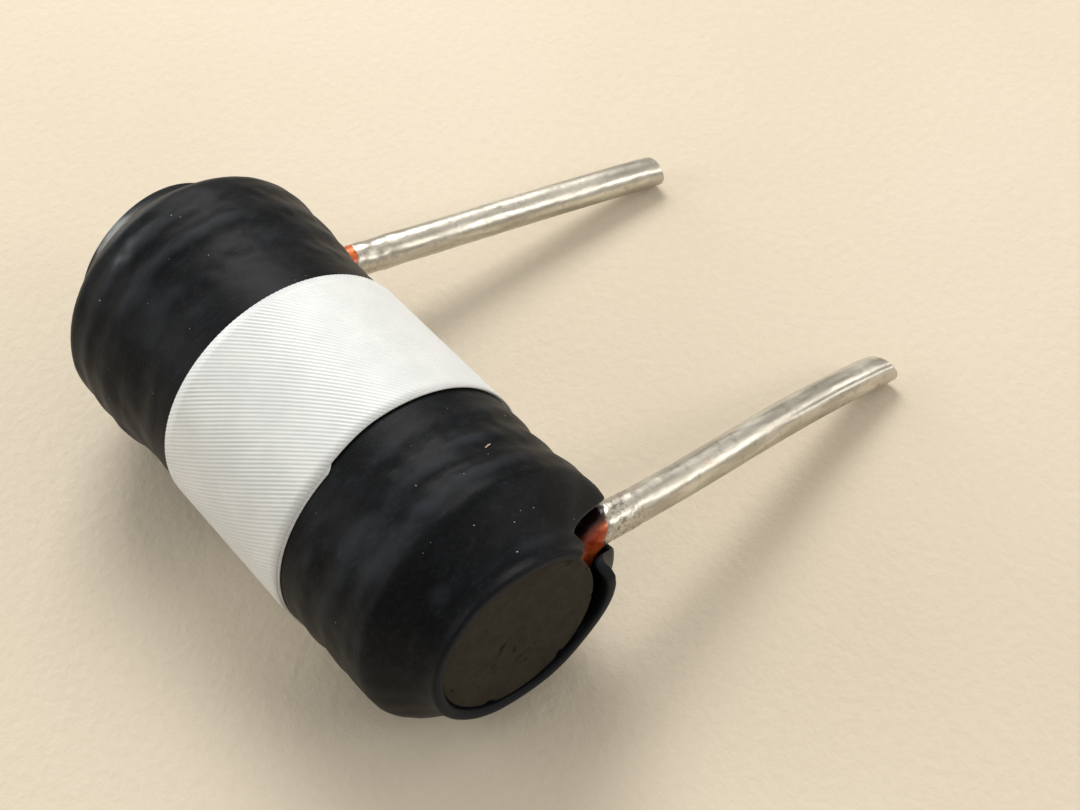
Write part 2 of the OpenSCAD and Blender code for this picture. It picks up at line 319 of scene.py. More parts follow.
def dipped_solder_finish(axis):
    """Dip-tinned wire: grey-white metal with long runs, dull patches, a copper blush and a painted
    dark reflection line.
    """
    f = Finish("dipped_solder_" + ("front" if axis[0] < 0 else "rear"))
    turn = Vector(axis).to_track_quat("Y", "Z").to_euler()
    turned = f.add("ShaderNodeMapping", {"Vector": f.place, "Rotation": turn},
                   vector_type="TEXTURE").outputs[0]
    runs = f.add("ShaderNodeMapping", {"Vector": turned, "Scale": (1.0, 0.16, 1.0)}).outputs[0]
    tone = f.levels(f.mottle(0.9, 4, 0.55, 0.3, runs), 0.3, 0.72)
    colour = f.blend(tone, (0.47, 0.44, 0.38, 1), (0.72, 0.69, 0.62, 1))
    dull = f.levels(f.mottle(0.8, 4, 0.6, 0.6), 0.52, 0.74)
    colour = f.over(colour, dull, 0.5, (0.30, 0.28, 0.245, 1))
    blush = f.levels(f.mottle(1.7, 4, 0.6, 0.5), 0.63, 0.76)
    colour = f.over(colour, blush, 0.5, (0.50, 0.27, 0.18, 1))
    # Painted reflection: a dark line along the lead towards its tip
    colour = f.over(colour, f.mark("groove_and_reflection_line"), 0.8, (0.12, 0.115, 0.10, 1))
    soot = f.calc("MULTIPLY", f.mark("sooty"), f.levels(f.mottle(0.34, 5, 0.7, 0.4), 0.47, 0.62))
    colour = f.over(colour, soot, 0.75, (0.13, 0.105, 0.075, 1))
    rough = f.levels(f.mottle(0.7, 4, 0.6, 0.2, runs), 0.3, 0.75, 0.30, 0.46)
    height = f.bump(f.mottle(0.8, 4, 0.55, 0.2, runs), 0.020, 0.8)
    height = f.bump(f.mottle(0.30, 3, 0.5), 0.010, 0.7, height)
    f.set(Base_Color=colour, Roughness=rough, Normal=height)
    f.set(Metallic=0.92)
    return f.material


def label_cloth_finish():
    """White satin label cloth: painted shade between the ribs, light smudges, and cut edges painted
    dark, partly as grime and partly as shade in the gap beneath them.
    """
    f = Finish("label_cloth")
    base = f.blend(f.levels(f.mottle(3.0, 4, 0.55), 0.35, 0.7),
                   (0.670, 0.700, 0.715, 1), (0.735, 0.760, 0.770, 1))
    # Painted shade in the hollows between the ribs
    groove = f.levels(f.mark("groove"), 0.2, 1.0)
    base = f.over(base, groove, 0.30, (0.54, 0.54, 0.53, 1))
    smudge = f.levels(f.mottle(1.9, 5, 0.7, 0.6), 0.63, 0.80)
    base = f.over(base, smudge, 0.22, (0.42, 0.41, 0.40, 1))
    # Cut edges painted dark: partly grime, partly shade in the gap under them
    base = f.blend(f.mark("rim"), base, (0.012, 0.008, 0.006, 1))
    rough = f.levels(f.mottle(0.7, 4), 0.3, 0.7, 0.36, 0.5)
    f.set(Base_Color=base, Roughness=rough, Normal=f.bump(f.mottle(0.07, 4, 0.6), 0.006, 0.7))
    f.set(Sheen_Weight=0.15, Sheen_Roughness=0.4)
    return f.material


def fleck_finish():
    """Pale dust and lint."""
    f = Finish("dust_fleck")
    colour = f.blend(f.mottle(0.3, 3), (0.40, 0.38, 0.34, 1), (0.66, 0.62, 0.55, 1))
    f.set(Base_Color=colour, Roughness=f.levels(f.mottle(0.1, 3), 0.2, 0.8, 0.7, 0.95))
    return f.material


def fibre_finish():
    """A tan fibre, unevenly pale."""
    f = Finish("tan_fibre")
    colour = f.blend(f.mottle(0.25, 3), (0.34, 0.25, 0.15, 1), (0.62, 0.50, 0.34, 1))
    f.set(Base_Color=colour, Roughness=f.levels(f.mottle(0.1, 3), 0.2, 0.8, 0.6, 0.9))
    return f.material


def paper_finish():
    """Warm unglazed paper with a soft tooth."""
    f = Finish("table_paper")
    warm = f.blend(f.levels(f.mottle(60, 3, 0.5), 0.3, 0.7),
                   (0.660, 0.585, 0.470, 1), (0.700, 0.628, 0.515, 1))
    tooth = f.levels(f.mottle(0.7, 5, 0.62), 0.3, 0.7)
    warm = f.over(warm, tooth, 0.10, (0.52, 0.44, 0.33, 1))
    f.set(Base_Color=warm, Normal=f.bump(f.mottle(0.9, 5, 0.6), 0.16, 0.65))
    f.set(Roughness=0.9, Specular_IOR_Level=0.2)
    return f.material


# ---- Mesh helpers ------------------------------

def make_piece(name, points, faces, material, shade=True):
    """A closed mesh from points in millimetres, its faces turned outward."""
    mesh = bpy.data.meshes.new(name)
    mesh.from_pydata((np.asarray(points) * MM).tolist(), [], faces)
    mesh.update()
    work = bmesh.new()
    work.from_mesh(mesh)
    bmesh.ops.recalc_face_normals(work, faces=work.faces)
    work.to_mesh(mesh)
    work.free()
    piece = bpy.data.objects.new(name, mesh)
    bpy.context.scene.collection.objects.link(piece)
    mesh.materials.append(material)
    if shade:
        mesh.polygons.foreach_set("use_smooth", [True] * len(mesh.polygons))
    return piece


def carry(piece, name, values):
    """Writes one value per point into the mesh for its finish to read."""
    layer = piece.data.attributes.new(name, "FLOAT", "POINT")
    layer.data.foreach_set("value", np.asarray(values, dtype=np.float32).ravel())


def sheet_faces(rows, columns, outward=True):
    """Quads of a sheet whose rows are closed rings of the given number of columns."""
    faces = []
    for i in range(rows - 1):
        for k in range(columns):
            p, q = i * columns + k, i * columns + (k + 1) % columns
            quad = (p, q, q + columns, p + columns)
            faces.append(quad if outward else quad[::-1])
    return faces


# ---- Ferrite rod -------------------------------
# Small damage on the front face: y, z, half lengths, turn in degrees, depth
PITS = [(-1.43, -0.15, 0.36, 0.14, 35, 0.05), (-0.5, -1.30, 0.26, 0.12, 70, 0.04),
        (0.28, -3.36, 0.20, 0.12, 20, 0.05), (-2.29, -1.57, 0.16, 0.10, 60, 0.05),
        (-1.7, -0.75, 0.42, 0.07, 48, 0.03), (-5.62, -1.05, 0.20, 0.09, 100, 0.10),
        (4.22, 4.0, 0.12, 0.08, 0, 0.06), (1.2, -2.2, 0.16, 0.07, 30, 0.03),
        (-0.2, -2.6, 0.5, 0.05, 28, 0.02), (2.6, 1.1, 0.10, 0.08, 10, 0.03)]
# Chips along the front edge: angle, half width in degrees, depth
CHIPS = [(44, 1.6, 0.05), (67, 4.0, 0.16), (72, 2.0, 0.12), (105, 2.2, 0.10), (-12, 1.5, 0.04),
         (150, 3.0, 0.10), (-60, 2.4, 0.10), (-118, 4.0, 0.10), (20, 1.4, 0.04), (88, 1.5, 0.08)]


ROD_EDGE = 0.14                             # how far in the worn edge of each face reaches


def ferrite_rod(material):
    around = 256
    angle = np.arange(around) * 360 / around
    flat_r = ROD_R - ROD_EDGE
    rings = [(0.0, r) for r in np.linspace(0.12, flat_r - 0.05, 44)]
    rings += [(0.0, flat_r), (0.03, flat_r + 0.06), (0.08, flat_r + 0.11), (ROD_EDGE, ROD_R),
              (0.5, ROD_R), (1.2, ROD_R)]
    rings += [(u, ROD_R) for u in np.linspace(3, ROD_L - 3, 12)]
    rings += [(ROD_L - u, r) for u, r in rings[::-1] if u < 1.3]
    points, dark = [], []
    for u, r in rings:
        front = u < ROD_L / 2
        depth_in = u if front else ROD_L - u
        edge = bell(depth_in + (flat_r - min(r, flat_r)), 0.22)
        ring_r = np.full(around, r)
        sink = np.zeros(around)
        rub = np.zeros(around)
        for turn, half, depth in CHIPS:
            near = bell(wrapped(angle - (turn if front else turn + 140)), half) * edge
            ring_r = ring_r - depth * near
            sink += 0.8 * depth * near
            rub += 0.8 * near
        if depth_in == 0 and front:
            y, z = r * np.cos(np.radians(angle)), r * np.sin(np.radians(angle))
            for py, pz, long, short, turn, depth in PITS:
                c, s = math.cos(math.radians(turn)), math.sin(math.radians(turn))
                a, b = (y - py) * c + (z - pz) * s, -(y - py) * s + (z - pz) * c
                pit = np.exp(-((a / long) ** 2 + (b / short) ** 2) ** 1.5)
                sink += depth * pit
                rub += pit
        where = on_rod(u, ring_r, angle)
        if depth_in == 0:
            sink += 0.012 * (1 + ripple(where, 0.9, 5)) * smooth((ROD_R - r) / 0.6)
        where[:, 0] -= sink if front else -sink
        points.append(where)
        dark.append(np.clip(rub, 0, 1))
    points = np.concatenate(points)
    faces = sheet_faces(len(rings), around, outward=False)
    front_middle, rear_middle = len(points), len(points) + 1
    middles = [[FRONT_X - 0.012, AXIS_Y, AXIS_Z], [FRONT_X - ROD_L + 0.012, AXIS_Y, AXIS_Z]]
    last = (len(rings) - 1) * around
    for k in range(around):
        n = (k + 1) % around
        faces.append((k, n, front_middle))
        faces.append((last + n, last + k, rear_middle))
    piece = make_piece("ferrite_core", np.vstack([points, middles]), faces, material)
    carry(piece, "rubbed", np.append(np.concatenate(dark), [0, 0]))
    return piece


# ---- Winding -----------------------------------

def lead_line(name):
    """Root, tip and direction of a lead's solder, from the pin stated for it."""
    mount = next(m for m in frame["record"]["mounts"] if m["name"] == name)
    way = np.array(mount["axis"])
    middle = np.array(mount["pos_m"]) / MM
    half = mount["dims"]["length_mm"] / 2 + 0.1
    return middle - way * half, middle + way * half, way


def wire_path():
    """Middle line of the wire: front stub, front bend, coil, rear bend, rear stub."""
    front_root, _, front_way = lead_line("front_lead")
    rear_root, _, rear_way = lead_line("rear_lead")

    def bend(u, angle, start, finish, steps):
        centre = on_rod(u, COIL_R + BEND_R, angle)
        turn = np.radians(np.linspace(start, finish, steps))
        return centre + BEND_R * np.stack([0 * turn, np.cos(turn), np.sin(turn)], axis=-1)

    front_fall = math.degrees(math.atan(-front_way[2] / front_way[1]))
    rear_fall = math.degrees(math.atan(-rear_way[2] / rear_way[1]))
    front = bend(FRONT_COIL_U, FRONT_A, 90 - front_fall, 180 + FRONT_A, BEND_STEPS)[:-1]
    rear = bend(REAR_COIL_U, REAR_A, 180 + REAR_A, 270 - rear_fall, BEND_STEPS)[1:]
    part_turn = (FRONT_A - REAR_A) / 360
    steps = 44 * TURNS
    share = np.linspace(0, 1, steps)
    coil = on_rod(FRONT_COIL_U + (REAR_COIL_U - FRONT_COIL_U) * share, COIL_R,
                  FRONT_A - 360 * (TURNS + part_turn) * share)
    return np.vstack([front_root + front_way * 0.6, front, coil, rear, rear_root + rear_way * 0.6])


def dipped_line(mount, behind):
    """Middle line of a tinned end: from a length behind its stated start, to its tip."""
    root, tip, _ = lead_line(mount)
    path = wire_path()
    bend = path[1:BEND_STEPS][::-1] if mount == "front_lead" else path[-BEND_STEPS:-1]
    knots = np.vstack([bend, root, tip])
    run = np.concatenate([[0], np.cumsum(np.linalg.norm(np.diff(knots, axis=0), axis=1))])
    start = run[-2] - behind

    def place(t):
        return np.array([np.interp(start + t, run, knots[:, i]) for i in range(3)])

    return place, run[-1] - start


class Maker(Nodes):
    """A Geometry Nodes tree being made, with a geometry in and out and named sizes."""

    def __init__(self, name, sizes):
        super().__init__(bpy.data.node_groups.new(name, "GeometryNodeTree"))
        self.socket("Geometry", "Geometry")
        self.socket("Geometry", "Geometry", "OUTPUT")
        for label, kind in sizes:
            self.socket(label, kind)
        self.given = self.add("NodeGroupInput").outputs
        self.result = self.add("NodeGroupOutput")

    def socket(self, label, kind, way="INPUT"):
        self.tree.interface.new_socket(label, in_out=way, socket_type="NodeSocket" + kind)

    def finish(self, geometry):
        real = self.add("GeometryNodeRealizeInstances", {"Geometry": geometry})
        dressed = self.add("GeometryNodeSetMaterial", {
            "Geometry": real.outputs[0], "Material": self.given["Material"]})
        self.give(self.result, 0, dressed.outputs[0])

    def run(self, name, base, values):
        """Builds the tree on a base mesh, and keeps the result as a plain mesh."""
        holder = bpy.data.objects.new(name, base)
        bpy.context.scene.collection.objects.link(holder)
        modifier = holder.modifiers.new(name, "NODES")
        modifier.node_group = self.tree
        for item in self.tree.interface.items_tree:
            if item.in_out == "INPUT" and item.name in values:
                modifier[item.identifier] = values[item.name]
        holder.update_tag()
        shown = holder.evaluated_get(bpy.context.evaluated_depsgraph_get())
        mesh = bpy.data.meshes.new_from_object(shown)
        holder.modifiers.remove(modifier)
        holder.data = mesh
        mesh.name = name
        return holder


def coil_maker():
    """Sweeps a round wire, slightly uneven, along the path that the base mesh gives."""
    m = Maker("wound_wire", [("Wire radius", "Float"), ("Sides", "Int"),
                             ("Unevenness", "Float"), ("Material", "Material")])
    path = m.add("GeometryNodeMeshToCurve", {"Mesh": m.given["Geometry"]})
    profile = m.add("GeometryNodeCurvePrimitiveCircle", {
        "Resolution": m.given["Sides"], "Radius": m.given["Wire radius"]})
    tube = m.add("GeometryNodeCurveToMesh", {
        "Curve": path.outputs[0], "Profile Curve": profile.outputs[0], "Fill Caps": True})
    noise = m.add("ShaderNodeTexNoise", {"Scale": 900.0, "Detail": 3.0})
    centred = m.calc("SUBTRACT", noise.outputs[0], 0.5)
    height = m.calc("MULTIPLY", centred, m.given["Unevenness"])
    normal = m.add("GeometryNodeInputNormal")
    offset = m.add("ShaderNodeVectorMath", {0: normal.outputs[0], "Scale": height},
                   operation="SCALE")
    moved = m.add("GeometryNodeSetPosition", {
        "Geometry": tube.outputs[0], "Offset": offset.outputs[0]})
    smooth_shade = m.add("GeometryNodeSetShadeSmooth", {"Geometry": moved.outputs[0]})
    m.finish(smooth_shade.outputs[0])
    return m


def winding(material):
    path = wire_path() * MM
    base = bpy.data.meshes.new("wire_line")
    base.from_pydata(path.tolist(), [(i, i + 1) for i in range(len(path) - 1)], [])
    piece = coil_maker().run("enamelled_coil", base, {
        "Wire radius": WIRE_R * MM, "Sides": 36, "Unevenness": 0.02 * MM, "Material": material})
    # Painted shade: the enamel is darkened near the front end, on the side that the sleeve covers
    points = np.empty(len(piece.data.vertices) * 3, dtype=np.float32)
    piece.data.vertices.foreach_get("co", points)
    x, y, z = points.reshape(-1, 3).T / MM
    under_sleeve_shade = 1 - 0.75 * smooth((x - FRONT_X + FRONT_COIL_U - 0.10) / 1.0)
    under_sleeve_shade = under_sleeve_shade * (x > FRONT_X - 6)
    carry(piece, "painted_sleeve_shade", under_sleeve_shade)
    return piece


# ---- Tinned leads ------------------------------

def tinned_lead(name, mount, behind, seed, bow, slant, groove_and_reflection, soot):
    """A solder-dipped wire end: runs and beads along it, a ragged start, a snipped tip.

    The solder starts a length behind the pin's stated root. The end has a bow, a slant to its
    snipped face, and shares of a groove painted as a dark reflection line towards the tip, and of
    soot at the root.
    """
    place, length = dipped_line(mount, behind)
    around = 72
    turn = np.arange(around) * 2 * math.pi / around
    own = np.random.default_rng(seed)
    late = 0.50 * (1 + np.cos(turn - math.radians(148))) * smooth((behind - 0.6) / 1.0)
    ragged = late + 0.16 * np.sin(turn * 2 + own.uniform(0, 6))
    ragged = ragged + 0.10 * np.sin(turn * 5 + own.uniform(0, 6))
    steps = np.concatenate([np.arange(0, 2.30, 0.06), np.arange(2.36, length - 0.75, 0.17),
                            length - np.array([0.6, 0.42, 0.28, 0.17, 0.09, 0.04, 0.0])])
    rings, marks = [], []
    for t in steps:
        start = smooth(t / 1.2)
        from_tip = length - t
        way = place(t + 0.12) - place(t - 0.12)
        way /= np.linalg.norm(way)
        side = np.cross(way, [0, 0, 1.0])
        side /= np.linalg.norm(side)
        up = np.cross(side, way)
        out = np.cos(turn)[:, None] * side + np.sin(turn)[:, None] * up
        centre = place(t) + up * bow * math.sin(math.pi * t / length)
        centre = centre + side * 0.5 * bow * math.sin(2 * math.pi * t / length)
        reach = centre + out * SOLDER_R
        stretched = reach - way * (reach @ way)[:, None] * 0.88
        lumps = 0.009 * ripple(stretched, 2.6, seed) + 0.005 * ripple(reach, 0.9, seed + 1)
        lumps += 0.035 * bell(t - 2.2, 2.0) * (1 + ripple(reach, 1.3, seed + 2))
        lumps += 0.025 * np.clip(ripple(stretched, 1.5, seed + 4) - 1.2, 0, 1)
        # A shallow groove along the lead, which the finish also paints as a dark reflection line
        groove_and_reflection_line = bell(wrapped(np.degrees(turn) - 50), 4) * smooth((t - length + 14) / 4) * groove_and_reflection
        lumps -= 0.05 * groove_and_reflection_line
        r = SOLDER_R - 0.02 + lumps * start
        if t < behind + 0.8:
            r = np.maximum(r, WIRE_R + 0.035)
        lead_in = np.clip((t - 0.18 - ragged) / 0.14, 0, 1)
        r = np.where(lead_in < 1, (WIRE_R - 0.05) + (r - WIRE_R + 0.05) * np.sqrt(lead_in), r)
        rounding = 0.09
        r = r - (rounding - np.sqrt(max(rounding ** 2 - max(rounding - from_tip, 0) ** 2, 0)))
        # The cutter's two jaws press the last stretch a little flat and leave a slanted face
        squeeze = bell(from_tip, 0.9) * 0.08
        ring = centre + out * r[:, None]
        ring -= up * ((ring - centre) @ up)[:, None] * squeeze
        slanted = ((ring - centre) @ (0.85 * side - 0.53 * up)) * slant - 0.85 * slant
        ring += way * (slanted * smooth(1 - from_tip / 3.0))[:, None]
        rings.append(ring)
        marks.append(groove_and_reflection_line)
    face_steps = [0.82, 0.62, 0.40, 0.18]
    last = rings[-1]
    middle = last.mean(axis=0)
    for share in face_steps:
        ring = middle + (last - middle) * share
        rings.append(ring + way * (0.03 * ripple(ring, 0.7, seed + 3) + 0.02)[:, None])
    points = np.vstack(rings + [[place(0)], [middle + way * 0.02]])
    faces = sheet_faces(len(rings), around)
    start_middle, end_middle = len(points) - 2, len(points) - 1
    end = (len(rings) - 1) * around
    for k in range(around):
        n = (k + 1) % around
        faces.append((n, k, start_middle))
        faces.append((end + k, end + n, end_middle))
    piece = make_piece(name, points, faces, dipped_solder_finish(lead_line(mount)[2]))
    marks = np.concatenate(marks + [np.zeros(len(points) - len(marks) * around)])
    carry(piece, "groove_and_reflection_line", marks)
    run = np.full(len(points), length)
    run[:len(steps) * around] = np.repeat(steps, around)
    carry(piece, "sooty", bell(run - 1.6, 2.4) * soot)
    return piece


# ---- Sleeve ------------------------------------
# Edges of the two slots that let the leads out, and close behind them: distance behind the
# front face, upper and lower angle
FRONT_SLOT = np.array([
    [-0.6, 44, -8.0], [-0.35, 42, -4.5], [0.0, 38, 1.0], [0.30, 33.6, 4.6], [0.56, 31.4, 6.0],
    [0.80, 33.4, 5.6], [0.97, 36.6, 5.0], [1.3, 38.2, 1.8], [1.65, 35.2, -3.0],
    [2.1, 30.6, -8.6], [2.4, 27.0, -11.2], [2.75, 22.4, -12.4], [3.1, 17.4, -12.4],
    [3.47, 12.6, -12.2], [3.8, 9.6, -12.0], [4.5, 6.2, -11.6], [4.85, 4.4, -11.0],
    [5.05, 2.6, -10.2], [5.17, 0.4, -8.8], [5.24, -2.2, -7.2], [5.28, -4, -4]])
REAR_SLOT = np.array([
    [37.10, -18, -18], [37.14, -15, -21], [37.22, -12.2, -24], [37.36, -9.8, -26.4],
    [37.62, -8.4, -27.6], [38.1, -8, -28.2], [40.0, -6.6, -29], [42.4, -5.0, -30],
    [44.2, -3.4, -30.8], [45.4, -2.6, -31.2]])


LIP_HUG = 0.2                               # length of rod that each lip lies on
FRONT_SHOULDER = 0.9                        # lengths over which the sleeve widens to the coil
REAR_SHOULDER = 4.95
STEP_ARC = 60                               # degrees over which it rises beside the front lead


def turn_share(angle):
    """Share of a turn from where the wire starts round the rod, going backwards."""
    return ((FRONT_A - angle + 720) % 360) / 360


def neck(u, angle):
    """Share of the way from lip to winding that the sleeve has widened."""
    share = turn_share(angle)
    rise = np.where(angle > FRONT_A,
                    np.minimum(share, smooth((angle - FRONT_A) / STEP_ARC)), share)
    first_turn = FRONT_COIL_U + PITCH * rise
    return np.minimum(smooth((u - LIP_HUG) / (first_turn - FRONT_SHOULDER - LIP_HUG)),
                      smooth((ROD_L - LIP_HUG - u) / REAR_SHOULDER))


def patch(u, angle, at, long, towards, wide):
    """A soft patch on the sleeve, by its place and half length, its direction and half width."""
    return bell(u - at, long) * bell(wrapped(angle - towards), wide)


def sleeve_radius(u, angle):
    """Outside of the sleeve before its small unevenness."""
    angle = wrapped(angle)
    low = np.maximum(0, -np.sin(np.radians(angle))) ** 2
    front = 1 - smooth((u - 7) / 6)
    rear = smooth((u - ROD_L + 13.5) / 5)
    body = BODY_R + (0.2 * low - 0.15 * (1 - low)) * front + (0.2 * low + 0.5 * (1 - low)) * rear
    lip = ROD_R + 0.03 + LIP_WALL
    swell = 0.72 * bell(angle - 2, 30) * bell(u - 3.7 - WIRE_R / 2, 3)
    flare = 1.3 * bell(angle + 22, 22) * (1 - smooth((u + LIP_PROUD) / 5))
    flare -= 0.46 * bell(angle + 26, 17) * (1 - smooth((u + LIP_PROUD) / 2.2))
    flare += 0.36 * bell(angle - 2, 14) * (1 - smooth((u + LIP_PROUD) / 2.2))
    flare -= 0.46 * bell(angle + 10, 9) * bell(u - 3.1, 1.3)
    return lip + (body + swell - lip) * neck(u, angle) + flare


# Dust patches of the sleeve, and one darker patch of painted shade in the front neck: how much
# lighter, then place, half length, angle, half width
DUST_AND_NECK_SHADE = ((1.5, 6.6, 2.2, 120, 22), (-1.3, 3.6, 1.0, 128, 34), (0.5, 34.5, 4.0, 118, 26),
         (0.9, 2.0, 0.7, 124, 16))


def turn_relief(u, angle, where):
    """How the turns, folds and slack of the sleeve show on its outside, and how raised it is, with
    its dust patches and the painted shade in the front neck.
    """
    angle = wrapped(angle)
    phase = 2 * math.pi * (u - FRONT_COIL_U - PITCH * turn_share(angle)) / PITCH
    bare = np.maximum(1 - smooth((u - 10.5) / 2.2), smooth((u - 28.2) / 2.2))
    bare = bare * smooth((u - 4.5) / 2) * smooth((ROD_L - 3.6 - u) / 2)
    patchy = np.clip(0.75 + 0.45 * ripple(where * [1, 0.5, 0.5], 9, 21), 0.1, 1.5)
    turns = 0.060 * bare * patchy * np.cos(phase)
    slack = 0.040 * bare * ripple(where * [1.0, 0.45, 0.45], 2.6, 31)
    slack += 0.020 * bare * ripple(where * [1.0, 0.6, 0.6], 1.1, 33)
    lip = smooth((u + 0.3) / 1.2) * (1 - smooth((u - 4.5) / 2))
    slack += 0.03 * lip * ripple(where * [0.6, 1, 1], 2.4, 35)
    ridge = 0.13 * patch(u, angle, 0.95, 0.42, 62, 42) * smooth((angle - 20) / 14)
    dent = -0.10 * patch(u, angle, 2.0, 0.6, 62, 46)
    askew = u - 0.020 * (angle - 75)
    fold = 0.07 * patch(askew, angle, 7.4, 0.35, 72, 26)
    fold -= 0.08 * patch(askew, angle, 8.3, 0.45, 72, 30)
    raised = (turns + slack) / 0.09 + ridge / 0.16 + fold / 0.10
    # Dust patches, and the darker patch of painted shade in the front neck
    dust_and_neck_shade = sum(much * patch(u, angle, *spot) for much, *spot in DUST_AND_NECK_SHADE)
    return turns + slack + ridge + dent + fold, raised + dust_and_neck_shade


def shrink_sleeve(material):
    fine = [0, 0.05, 0.11, 0.18, 0.26, 0.36]
    rows = np.concatenate([
        np.array(fine) - LIP_PROUD, np.arange(0.14, 2.4, 0.13), np.arange(2.4, 4.7, 0.2),
        np.arange(4.7, 5.0, 0.10), [5.05, 5.11, 5.17, 5.21, 5.24, 5.28], np.arange(5.4, 12.9, 0.24),
        np.arange(13.0, 27.4, 0.60), np.arange(27.5, 36.9, 0.27),
        [36.98, 37.10, 37.14, 37.18, 37.22, 37.29, 37.36, 37.48, 37.62, 37.85, 38.1],
        np.arange(38.35, 44.25, 0.24), ROD_L + LIP_PROUD - np.array(fine[::-1])])
    near = np.array([0, 0.3, 0.65, 1.05, 1.55, 2.2, 3.0])
    shares = np.concatenate([near, np.linspace(4.2, 355.8, 214), 360 - near[::-1]]) / 360
    # Between the slots both edges lie together, so the sheet closes on itself
    slots = np.vstack([FRONT_SLOT, REAR_SLOT])
    upper, lower = (np.interp(rows, slots[:, 0], slots[:, side]) for side in (1, 2))
    n, columns = len(rows), len(shares)
    angle = upper[:, None] + shares[None, :] * (360 + lower - upper)[:, None]
    u = np.repeat(rows[:, None], columns, axis=1)
    # The lips aren't cut quite square, and are a little wavy
    a = np.radians(angle)
    front_wave = 0.05 * np.sin(a * 3 + 1.0) + 0.03 * np.sin(a * 7 + 0.3) - 0.05 * np.cos(a - 1.9)
    rear_wave = 0.07 * np.sin(a * 2 + 0.6) + 0.04 * np.sin(a * 5 + 2.0)
    u = u + front_wave * (1 - smooth((u + LIP_PROUD) / 2.2))
    rear_wave = rear_wave - 0.2 - 0.40 * bell(wrapped(angle - 138), 34)
    u = u + rear_wave * smooth((u - ROD_L + 2.2) / 2.2)
    radius = sleeve_radius(u, angle)
    wall = LIP_WALL - (LIP_WALL - SLEEVE_WALL) * neck(u, wrapped(angle))
    middle = on_rod(u, radius - wall / 2, angle)
    relief, raised = turn_relief(u, angle, on_rod(u, radius, angle))

    # Distance from the open edges, which rounds off their corners
    open_row = (upper - lower) > 1e-6
    edge_points = np.vstack([middle[0], middle[-1], middle[open_row, 0], middle[open_row, -1]])
    tree = KDTree(len(edge_points))
    for i, p in enumerate(edge_points):
        tree.insert(p, i)
    tree.balance()
    flat = middle.reshape(-1, 3)
    away = np.array([tree.find(p)[2] for p in flat]).reshape(n, columns)
    corner = 0.26
    close = np.clip(corner - away, 0, corner)
    rounding = corner - np.sqrt(corner ** 2 - close ** 2)

    outside = on_rod(u, radius + relief - rounding, angle)
    inside = on_rod(u, radius - wall + rounding + 0.25 * relief, angle)
    outside[..., 2] = np.maximum(outside[..., 2], 0.0)

    def index(i, k, sheet):
        if k == columns - 1 and not open_row[i]:
            k = 0
        return sheet * n * columns + i * columns + k

    faces = []
    for i in range(n - 1):
        for k in range(columns - 1):
            quad = [index(i, k, 0), index(i, k + 1, 0), index(i + 1, k + 1, 0), index(i + 1, k, 0)]
            inner = [v + n * columns for v in quad][::-1]
            for ring in (quad[::-1], inner[::-1]):
                corners = list(dict.fromkeys(ring))
                if len(corners) > 2:
                    faces.append(tuple(corners))
        for k, flip in ((0, False), (columns - 1, True)):
            if open_row[i] or open_row[i + 1]:
                ring = [index(i, k, 0), index(i + 1, k, 0), index(i + 1, k, 1), index(i, k, 1)]
                faces.append(tuple(ring[::-1] if flip else ring))
    for k in range(columns - 1):
        for i, flip in ((0, True), (n - 1, False)):
            ring = [index(i, k, 0), index(i, k + 1, 0), index(i, k + 1, 1), index(i, k, 1)]
            ring = list(dict.fromkeys(ring))
            if len(ring) > 2:
                faces.append(tuple(ring[::-1] if flip else ring))
    points = np.vstack([outside.reshape(-1, 3), inside.reshape(-1, 3)])
    used = np.zeros(len(points), bool)
    used[np.unique(np.concatenate([np.array(f) for f in faces]))] = True
    renumber = np.cumsum(used) - 1
    faces = [tuple(int(renumber[v]) for v in f) for f in faces]
    piece = make_piece("shrink_sleeve_skin", points[used], faces, material)
    carry(piece, "raised", np.concatenate([raised.ravel(), 0 * raised.ravel()])[used])
    edge_mark = np.clip(1 - away / 0.2, 0, 1).ravel()
    carry(piece, "cut_edge", np.concatenate([edge_mark, edge_mark])[used])
    # Painted highlight: a pale band on the far shoulder and a dimmer one in front of it
    painted_highlight = 1.3 * patch(u, angle, 43.3, 0.9, 120, 13) + 0.35 * patch(u, angle, 38.2, 0.7, 118, 8)
    painted_highlight = painted_highlight.ravel() * (1 + 0.35 * ripple(outside.reshape(-1, 3), 1.2, 61))
    carry(piece, "painted_highlight", np.concatenate([painted_highlight, 0 * painted_highlight])[used])
    return piece


# ---- Label -------------------------------------

CLIMB = (-0.16, 0.02)       # where the second turn climbs, in radians past a full turn
SECOND_LIFT = 1.6           # how high it then lies, in thicknesses of the strip
# Sideways steps of the strip, so its first turn looks out: from and to in degrees, how far
STEPS_ASIDE = ((112, 120, -0.77), (200, 320, 0.63), (452, 486, -0.40))
FIRST_ASIDE = 0.12          # how far it starts to one side
FAR_SWAY = 0.20             # how much its far edge sways


